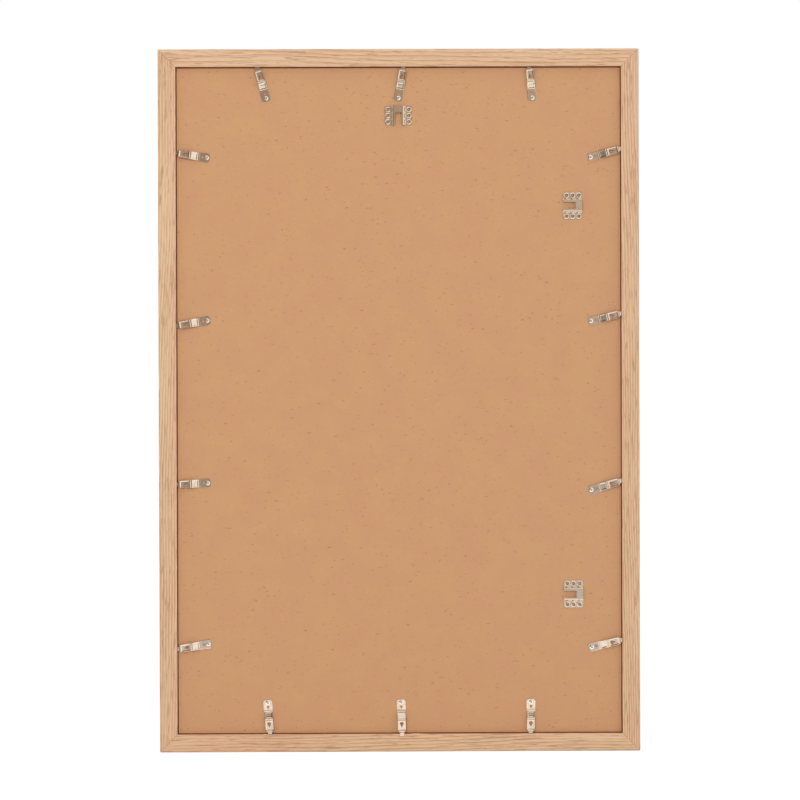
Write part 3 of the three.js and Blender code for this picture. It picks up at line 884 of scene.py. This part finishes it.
def add_punch(x, z, radius, sides):
    """A round punch that stands along Y."""
    return add_primitive("cylinder", "punch", vertices=sides, radius=radius * MM, depth=PUNCH_HEIGHT,
                         location=(x * MM, 0, z * MM), rotation=(math.radians(90), 0, 0))


def drop_punch(wide_at, wide, narrow_at, narrow, waist=1.0):
    """A round punch that is drawn out on one side to a narrow end."""
    tool = add_punch(0, wide_at, wide, PUNCH_SIDES)
    for vertex in tool.data.vertices:
        beyond = (vertex.co.z / MM - wide_at) / wide
        if beyond > 0:
            side = vertex.co.x / MM / wide
            along = smooth_step(beyond) ** waist
            vertex.co.z = (wide_at + beyond * (narrow_at + narrow - wide_at)) * MM
            vertex.co.x = side * (wide + (narrow - wide) * along) * MM
    return tool


def head_tilt(s, tilt):
    """How much higher the head lies towards its end, which drops to the tongue again."""
    along = max(0.0, (s - HEAD_START) / (THIRD_BEND - HEAD_START))
    return tilt * min(1.0, along) * (1 - past_third_bend(s))


def extra_height(s, rise):
    """What a sprung clip is bent up more: along its ramp, and at its tongue over the rail."""
    return rise * (on_ramp(s) + SPRUNG_TONGUE * past_third_bend(s))


def clip_places():
    """Stations along a clip: close together at its ends and bends, wide apart where it is even."""
    fine_end, bend_start, tongue_start = 25.2, THIRD_BEND - 1.4, 40.0
    places = [TAIL_END + TAIL_RADIUS * (1 - math.cos(math.radians(a))) for a in range(0, 91, 15)]
    for start, end, step in (
        (0.4, FIRST_BEND - 1, 0.8), (FIRST_BEND - 1, fine_end, 0.32), (fine_end, bend_start, 0.6),
        (bend_start, tongue_start, 0.3), (tongue_start, TONGUE_END - TONGUE_RADIUS - 0.2, 0.8),
    ):
        places += list(np.arange(start, end, step))
    return places + [TONGUE_END - TONGUE_RADIUS * (1 - math.sin(math.radians(a))) for a in range(0, 91, 30)]


def make_clip(rise, tilt, merge):
    """A clip on the origin that points along Z. Corners closer than merge are made one."""
    def height(s):
        return SEAT + clip_height(s) + extra_height(s, rise) + head_tilt(s, tilt)
    clip = sheet_strip([(s, clip_half_width(s), height(s)) for s in clip_places()], CLIP_COLUMNS)
    for vertex in clip.data.vertices:
        vertex.co.y -= dish_depth(vertex.co.x / MM, vertex.co.z / MM) * MM
    apply_modifier(clip, "SOLIDIFY", thickness=STEEL * MM, **UPWARD)
    apply_modifier(clip, "BEVEL", **SOFT_EDGE)
    tidy_normals(clip, merge)
    for punch in CLIP_PUNCHES:
        cut(clip, drop_punch(*punch))
    tidy_normals(clip)
    smooth(clip, PLATE_SMOOTHING)
    return clip


BOARD_RECESS = 6.0
SPRUNG_RISE = BOARD_RECESS - CLIP_RISE - 0.05
plain_clip = make_clip(0, HEAD_TILT, 0.003)
sprung_clip = make_clip(SPRUNG_RISE, 0, 0.0025)
for clip in (plain_clip, sprung_clip):
    print("clip faces", len(clip.data.polygons), "size in mm", [round(c / MM, 2) for c in clip.dimensions])

# %% [markdown]
# Each clip is a copy set on its rivet and turned as the solid that it stands for. The way it points
# is measured on that solid: the points farthest from the rivet are the end of its tongue.

# %% Fourteen clips
SPRUNG = "clip_bottom_2"
TIP_SHARE = 0.985
CLIP_NAMES = sorted(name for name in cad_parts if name.startswith("clip_"))
BOARD_BACK = -BOARD_RECESS * MM


def rivet_place(clip_name):
    low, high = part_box(clip_name.replace("clip", "rivet"))
    return Vector(((low[0] + high[0]) / 2, BOARD_BACK, (low[2] + high[2]) / 2))


def pointing(clip_name, pivot):
    """Angle about Y of the way from the rivet to the end of the tongue."""
    reach = [v.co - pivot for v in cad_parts[clip_name].data.vertices]
    longest = max(math.hypot(r.x, r.z) for r in reach)
    tip = sum((r for r in reach if math.hypot(r.x, r.z) > TIP_SHARE * longest), Vector())
    return math.atan2(tip.x, tip.z)


for clip_name in CLIP_NAMES:
    pivot = rivet_place(clip_name)
    angle = pointing(clip_name, pivot)
    shape = sprung_clip if clip_name == SPRUNG else plain_clip
    clip = copy_of(shape, f"turn_{clip_name}", Matrix.Translation(pivot) @ Matrix.Rotation(angle, 4, "Y"))
    dress(clip, clip_name, clip_name, CLIP_PLATE)
    print(clip.name, "points", round(math.degrees(angle), 1))
for shape in (plain_clip, sprung_clip):
    bpy.data.objects.remove(shape)

# %% [markdown]
# ## The rivets
# A hollow rivet is a round part, so its profile is drawn once on one side of the axis and spun. Its
# head is rolled over from the bore, and that roll is what shines as a ring in the photo.

# %% Fourteen rivets
FLANGE_UNDER = 1.3
RIVET_PROFILE = [
    (0, -2.7), (2.35, -2.7), (2.5, -2.62), (2.4, -2.5), (1.75, -2.25), (1.6, -2.1), (1.6, FLANGE_UNDER),
    (2.75, FLANGE_UNDER), (2.88, 1.38), (2.84, 1.5), (2.0, 1.93), (1.75, 2.0), (1.5, 1.94), (1.3, 1.7),
    (1.15, 1.2), (1.1, 0.6), (1.05, -1.5), (0.6, -2.0), (0, -2.2),
]
RIVET_SIDES = 36


def spun(profile, name, steps):
    """A closed round body on the axis Y, from (radius, height) points in millimetres."""
    points = [(r * MM, h * MM, 0) for r, h in profile]
    body = begin_body(name, points, [(i, i + 1) for i in range(len(points) - 1)], [])
    bpy.ops.mesh.spin(steps=steps, angle=2 * math.pi, center=(0, 0, 0), axis=(0, 1, 0))
    end_edit()
    tidy_normals(body)
    return body


rivet_shape = spun(RIVET_PROFILE, "rivet_shape", RIVET_SIDES)
smooth(rivet_shape, PLATE_SMOOTHING)
for clip_name in CLIP_NAMES:
    node = clip_name.replace("clip", "rivet")
    rivet = copy_of(rivet_shape, f"hollow_{node}", Matrix.Translation(rivet_place(clip_name)))
    dress(rivet, "root", node, RIVET_PLATE)
print("rivet faces", len(rivet_shape.data.polygons))
bpy.data.objects.remove(rivet_shape)

# %% [markdown]
# ## The hangers
# A hanger is one pressed plate: two flat strips with three eyelets each, and a raised bridge and legs
# round an open slot. Its end view is drawn out as the clip was, from one strip over the raised
# middle to the other. The plan with its slot and notches is then cut from that sheet by a boolean
# with a block of the same outline, as a blanking die would. The eyelets are spun and joined on.

# %% Plate of a hanger
HANGER_STEEL, HANGER_SEAT = 0.65, 0.1
STRIP_HALF, FOOT, LEG_EDGE, SLOT_HALF = 18.55, 9.4, 6.9, 4.75
HANGER_RISE, HANGER_LENGTH, BRIDGE = 3.0, 26.0, 8.5
MARGIN = 1.0
NOTCHES = (-3.17, 0.0, 3.17)
EYELET_ACROSS = 14.05
EYELETS_ALONG = (-21.3, -13.0, -4.7)
EYELETS = [(x, z) for x in (-EYELET_ACROSS, EYELET_ACROSS) for z in EYELETS_ALONG]
CORNER_POINTS = 7
NOTCH_DEPTH = 1.5
NOTCH_SHAPE = ((-1.15, -NOTCH_DEPTH), (-0.4, -0.12), (0, 0), (0.4, -0.12), (1.15, -NOTCH_DEPTH))
RISER_STRAIGHT, RISER_EASED = 0.55, 0.45
DART_ACROSS, DART_SIZE, DART_RISE = 9.3, 0.7, 0.5


def arc(x, y, radius, start, end, count):
    """Points on an arc, by its centre, its radius and its angles in degrees."""
    angles = np.radians(np.linspace(start, end, count))
    return [(x + radius * math.cos(a), y + radius * math.sin(a)) for a in angles]


def corner(x, z, radius, start):
    return arc(x, z, radius, start, start + 90, CORNER_POINTS)


def hanger_outline():
    """Plan of a hanger: soft corners at the open end, tight ones at the bridge, three notches."""
    low, tight, soft = -HANGER_LENGTH, 2.0, 3.4
    points = corner(STRIP_HALF - tight, -tight, tight, 0)
    points += corner(tight - STRIP_HALF, -tight, tight, 90)
    points += corner(soft - STRIP_HALF, low + soft, soft, 180)
    points += [(-SLOT_HALF, low), (-SLOT_HALF, -BRIDGE - NOTCH_DEPTH)]
    points += [(notch + x, z - BRIDGE) for notch in NOTCHES for x, z in NOTCH_SHAPE]
    points += [(SLOT_HALF, -BRIDGE - NOTCH_DEPTH), (SLOT_HALF, low)]
    return points + corner(STRIP_HALF - soft, low + soft, soft, 270)


def blanking_die():
    """The plan as a block that stands along Y."""
    points = [(x * MM, -PUNCH_HEIGHT / 2, z * MM) for x, z in hanger_outline()]
    block = begin_body("blanking_die", points, [], [range(len(points))])
    bpy.ops.mesh.extrude_region_move(TRANSFORM_OT_translate={"value": (0, PUNCH_HEIGHT, 0)})
    end_edit()
    tidy_normals(block)
    return block


def hanger_height(s):
    t = min(1.0, max(0.0, (FOOT - abs(s)) / (FOOT - LEG_EDGE)))
    return HANGER_SEAT + HANGER_RISE * (RISER_STRAIGHT * t + RISER_EASED * smooth_step(t))


def dart_height(x, z):
    """A small pressed dart stiffens the foot of the riser beside each eyelet."""
    away = ((abs(x) - DART_ACROSS) / DART_SIZE) ** 2
    return sum(DART_RISE * math.exp(-away - ((z - dart) / DART_SIZE) ** 2) for dart in EYELETS_ALONG)


# %% The plate with its eyelets
HANGER_COLUMNS = 56
EYELET_SIDES, EYELET_HOLE = 32, 1.9


def make_hanger():
    riser = list(np.linspace(LEG_EDGE - 0.1, FOOT + 0.1, 12))
    half = [0.0, 2.4, 4.4, 6.2] + riser + list(np.linspace(FOOT + 0.6, STRIP_HALF + MARGIN, 10))
    places = [-s for s in reversed(half[1:])] + half
    stations = [(s, HANGER_LENGTH / 2 + MARGIN, hanger_height(s)) for s in places]
    plate = sheet_strip(stations, HANGER_COLUMNS)
    middle = Matrix.Translation((0, 0, -HANGER_LENGTH / 2 * MM))
    plate.data.transform(middle @ Matrix.Rotation(math.radians(90), 4, "Y"))
    for vertex in plate.data.vertices:
        vertex.co.y += dart_height(vertex.co.x / MM, vertex.co.z / MM) * MM
    apply_modifier(plate, "SOLIDIFY", thickness=HANGER_STEEL * MM, **UPWARD)
    cut(plate, blanking_die(), "INTERSECT")
    for x, z in EYELETS:
        cut(plate, add_punch(x, z, EYELET_HOLE, EYELET_SIDES))
    apply_modifier(plate, "BEVEL", **SOFT_EDGE)
    for x, z in EYELETS:
        eyelet = spun(eyelet_profile(), "eyelet", EYELET_SIDES)
        eyelet.data.transform(Matrix.Translation((x * MM, HANGER_SEAT * MM, z * MM)))
        cut(plate, eyelet, "UNION")
    tidy_normals(plate)
    smooth(plate, PLATE_SMOOTHING)
    return plate


def eyelet_profile():
    """A barrel in the board that is flared out on the plate into a raised ring."""
    bore, barrel, ring, foot, top = 1.75, 2.2, 3.9, -2.05, HANGER_STEEL
    outside = [(bore, foot), (barrel, foot), (barrel, 0.35), (ring, 0.35), (ring, top + 0.04)]
    crown = [(3.78, top + 0.16)] + arc(3.0, top + 0.46, 0.25, 50, 130, 5)
    return outside + crown + [(barrel, top + 0.1), (EYELET_HOLE, top - 0.25), (bore, 0.1), (bore, foot)]


hanger_shape = make_hanger()
print("hanger faces", len(hanger_shape.data.polygons))

# %% Three hangers
HANGER_INSET = 52.5 * MM
SIDE_OFFSET = 263 * MM
HANGERS = {
    "hanger_top": ("top", 0),
    "hanger_right_upper": ("right", SIDE_OFFSET),
    "hanger_right_lower": ("right", -SIDE_OFFSET),
}
for node, (side, along) in HANGERS.items():
    half_opening = (OUTER_WIDTH if side == "right" else OUTER_HEIGHT) / 2 - WALL
    place = side_matrix(side) @ Matrix.Translation((along, BOARD_BACK, half_opening - HANGER_INSET))
    hanger = copy_of(hanger_shape, f"toothed_{node}", place)
    dress(hanger, "root", node, HANGER_PLATE)
    print(hanger.name, [round(c / MM, 1) for c in place.translation])
bpy.data.objects.remove(hanger_shape)

# %% Solids that keep their own shape
KEPT = {"backing_board": HARDBOARD, "picture_sheet": PAPER, "glazing": GLASS}
for name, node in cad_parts.items():
    if name in KEPT or name.startswith("dowel_"):
        node.data.materials.clear()
        node.data.materials.append(KEPT.get(name, BEECH))
print("solids that keep their shape", sorted(KEPT), "and the dowels")

# %% [markdown]
# ## The room
# The frame stands on a pale floor in front of a pale backdrop, and both go to white for the camera
# while the floor keeps the frame's shadow. The light in the photo comes from the upper left: the
# left and top rails throw a narrow hard shadow on the board. The plated steel shows what it faces:
# slopes that face left are dark, slopes that face right, down or steeply up are bright, and so are
# rolled edges all round. So the world goes from dim and warm at the upper left to pale at the lower
# right, with a pale ceiling and pale sides. The floor also has a painted glow that the metal mirrors,
# a painted reflection: it dims where it runs on past the camera, and for flat metal on the right.

# %% Floor and backdrop
FLOOR_GAP = 0.0005
STAGE_SIZE, BACKDROP_PLACE = 24.0, (0, -6.0, 0)
STAGE_GREY = (0.8, 0.8, 0.8, 1.0)
FADE, FADE_LEAN = (1.4, 2.0), 2.0
SIDE_FADE = (-0.36, -0.24)
FLAT_WAY = (-0.96, -0.9)
floor_height = cad_box[0].z - FLOOR_GAP


def make_stage_material(name, share, glow, far_glow, side_glow):
    """Pale paint with a painted glow that camera, glossy and transmitted rays see: nearly white near the
    frame, and dimmed by place and by the way a mirrored ray comes where the levels ask for it.
    """
    material, n, shader, where = new_material(name)
    n.fill(shader, {"Base Color": STAGE_GREY, "Roughness": 0.9, "Specular IOR Level": 0.0})
    rays = n.add("ShaderNodeLightPath").outputs
    mirrored = n.math("MAXIMUM", rays["Is Glossy Ray"], rays["Is Transmission Ray"])
    seen = n.math("MAXIMUM", rays["Is Camera Ray"], mirrored)
    place = n.axes(where)
    away = n.math("ADD", place["Y"], n.times(place["X"], FADE_LEAN))
    coming = n.axes(n.add("ShaderNodeNewGeometry").outputs["Incoming"])
    from_slopes = n.between(coming["Y"], *FLAT_WAY, 0.0, glow)
    beside = n.math("MAXIMUM", n.between(place["X"], *SIDE_FADE, side_glow, glow), from_slopes)
    reflected = n.math("MINIMUM", n.between(away, *FADE, glow, far_glow), beside)
    level = n.math("MAXIMUM", reflected, n.times(rays["Is Camera Ray"], glow))
    white = n.add("ShaderNodeEmission", {"Color": level, "Strength": 1.0})
    mixed = n.add("ShaderNodeMixShader", {
        "Fac": n.times(seen, share), 1: shader.outputs[0], 2: white.outputs[0],
    })
    n.fill(material.node_tree.nodes["Material Output"], {"Surface": mixed.outputs[0]})
    return material


def add_stage_plane(name, place, turn, material):
    bpy.ops.object.select_all(action="DESELECT")
    bpy.ops.mesh.primitive_plane_add(size=STAGE_SIZE, location=place, rotation=turn)
    plane = bpy.context.object
    plane.name = name
    plane.data.materials.append(material)
    plane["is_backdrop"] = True


# The floor's glow is a painted reflection for the metal: dimmer far off, and at the right for flat metal.
floor_paint_and_glow = make_stage_material("floor_paint_and_glow", 0.75, 1.22, 0.15, 0.5)
backdrop_paint = make_stage_material("backdrop_paint", 1.0, 1.0, 1.0, 1.0)
add_stage_plane("floor", (0, 0, floor_height), (0, 0, 0), floor_paint_and_glow)
add_stage_plane("backdrop", BACKDROP_PLACE, (math.radians(-90), 0, 0), backdrop_paint)
print("floor at", round(floor_height, 4))

# %% [markdown]
# The world is the large soft light. The key light throws the hard shadow and isn't mirrored.

# %% Lights
KEY_WAY = Vector((0.3, 1.0, 0.38)).normalized()
KEY_AWAY, KEY_SIZE, KEY_POWER = 6.5, 0.8, 132.0
WORLD_LEVEL = 1.05
WORLD_SLANT = (-0.8, -0.45)
SLANT_RANGE = (-0.6, 0.6, 0.0, 1.0)
CEILING_RANGE = (0.56, 0.7, 0.0, 0.9)
SIDES_RANGE = (0.45, 0.25, 0.0, 0.9)
WHITE = (1.0, 1.0, 1.0, 1.0)


def warm(level, green=0.77, blue=0.6):
    return (level, green * level, blue * level, 1.0)


WORLD_STOPS = [
    (0.0, warm(0.16, 0.68, 0.45)), (0.2, warm(0.23, 0.7, 0.5)), (0.42, warm(0.38)),
    (0.5, warm(0.5, 0.83, 0.7)), (0.6, warm(0.68, 0.92, 0.84)), (0.8, 0.97), (1.0, 1.0),
]


def add_world():
    world = bpy.data.worlds.new("studio")
    scene.world = world
    world.use_nodes = True
    n = Nodes(world.node_tree)
    way = n.axes(n.add("ShaderNodeTexCoord").outputs["Generated"])
    leftward = n.times(way["X"], WORLD_SLANT[0])
    slant = n.math("ADD", leftward, n.times(way["Z"], WORLD_SLANT[1]))
    level = n.ramp(n.between(slant, *SLANT_RANGE), WORLD_STOPS)
    ceiling = n.between(way["Z"], *CEILING_RANGE)
    sides = n.between(way["Y"], *SIDES_RANGE)
    direct = n.add("ShaderNodeLightPath").outputs["Is Camera Ray"]
    pale = n.math("MAXIMUM", n.math("MAXIMUM", ceiling, sides), direct)
    shine = world.node_tree.nodes["Background"]
    n.fill(shine, {"Color": n.mix(pale, level, WHITE), "Strength": WORLD_LEVEL})


def add_key_light(place, aim):
    data = bpy.data.lights.new("key", "AREA")
    data.shape = "DISK"
    data.size = KEY_SIZE
    data.energy = KEY_POWER
    lamp = bpy.data.objects.new("key", data)
    scene.collection.objects.link(lamp)
    turn = (aim - place).to_track_quat("-Z", "Y").to_matrix().to_4x4()
    lamp.matrix_world = Matrix.Translation(place) @ turn
    lamp.visible_glossy = False


add_world()
frame_centre = (cad_box[0] + cad_box[1]) / 2
key_place = frame_centre + KEY_WAY * KEY_AWAY
add_key_light(key_place, frame_centre)
print("key light at", [round(c, 2) for c in key_place])

# %% [markdown]
# ## Sizes
# The model stays inside the box of the measured solids.

# %% Sizes and finish
scene.view_settings.view_transform = "Standard"
seen_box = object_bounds()
for name, box in (("cad", cad_box), ("visual", seen_box)):
    print(name, [tuple(round(v, 4) for v in c) for c in box])
